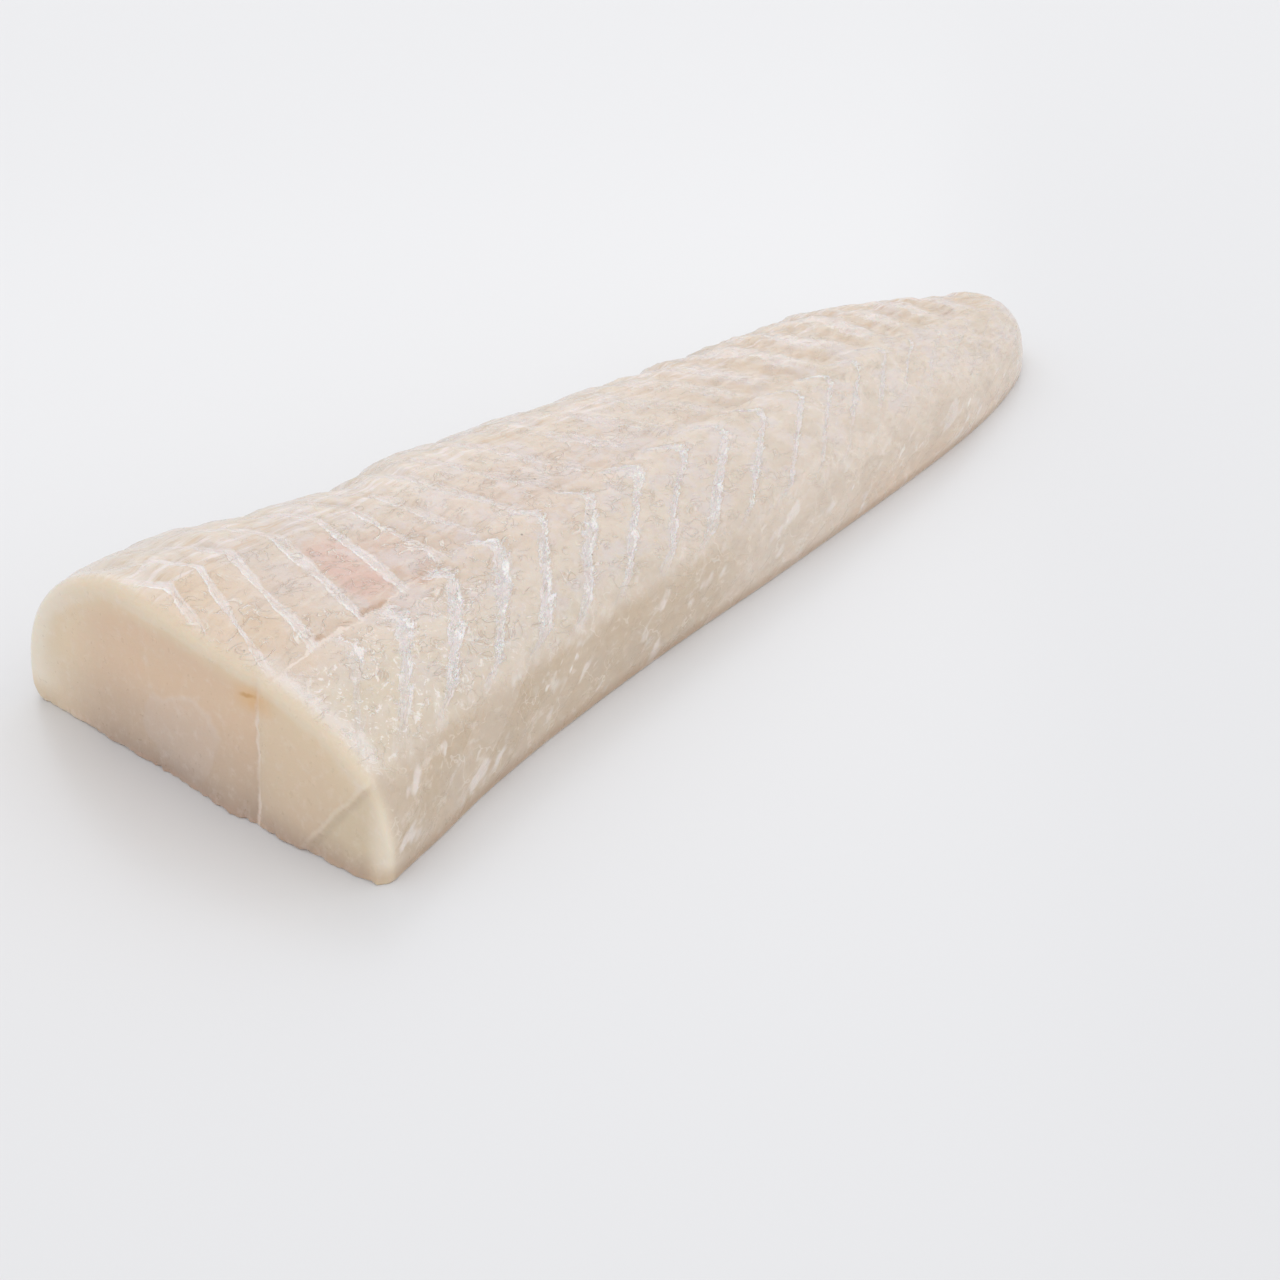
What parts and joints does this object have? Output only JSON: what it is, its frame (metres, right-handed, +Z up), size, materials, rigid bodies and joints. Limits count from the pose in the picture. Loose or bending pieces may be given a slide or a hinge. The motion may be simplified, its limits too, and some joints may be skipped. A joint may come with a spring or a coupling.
{
  "type": "salted cod loin",
  "caption": "Thick skinless loin of salted cod, cut square at the head end and tapering to a rounded tail, with flaked flesh on its crown and flanks.",
  "frame": {"origin": "middle of the bounding box of the loin, at its flat underside", "axes": "+X along the length towards the tail end, the cut face looks along -X; +Y to the rounded side, the steep flank is on -Y; +Z up"},
  "size_m": [0.3022, 0.1184, 0.0429],
  "materials": {
    "flesh": "moist, slightly translucent fish flesh: smooth gloss over ivory to peach, with white tissue between the flakes"
  },
  "bodies": {
    "root": {"cod_loin": "flesh"}
  },
  "joints": []
}
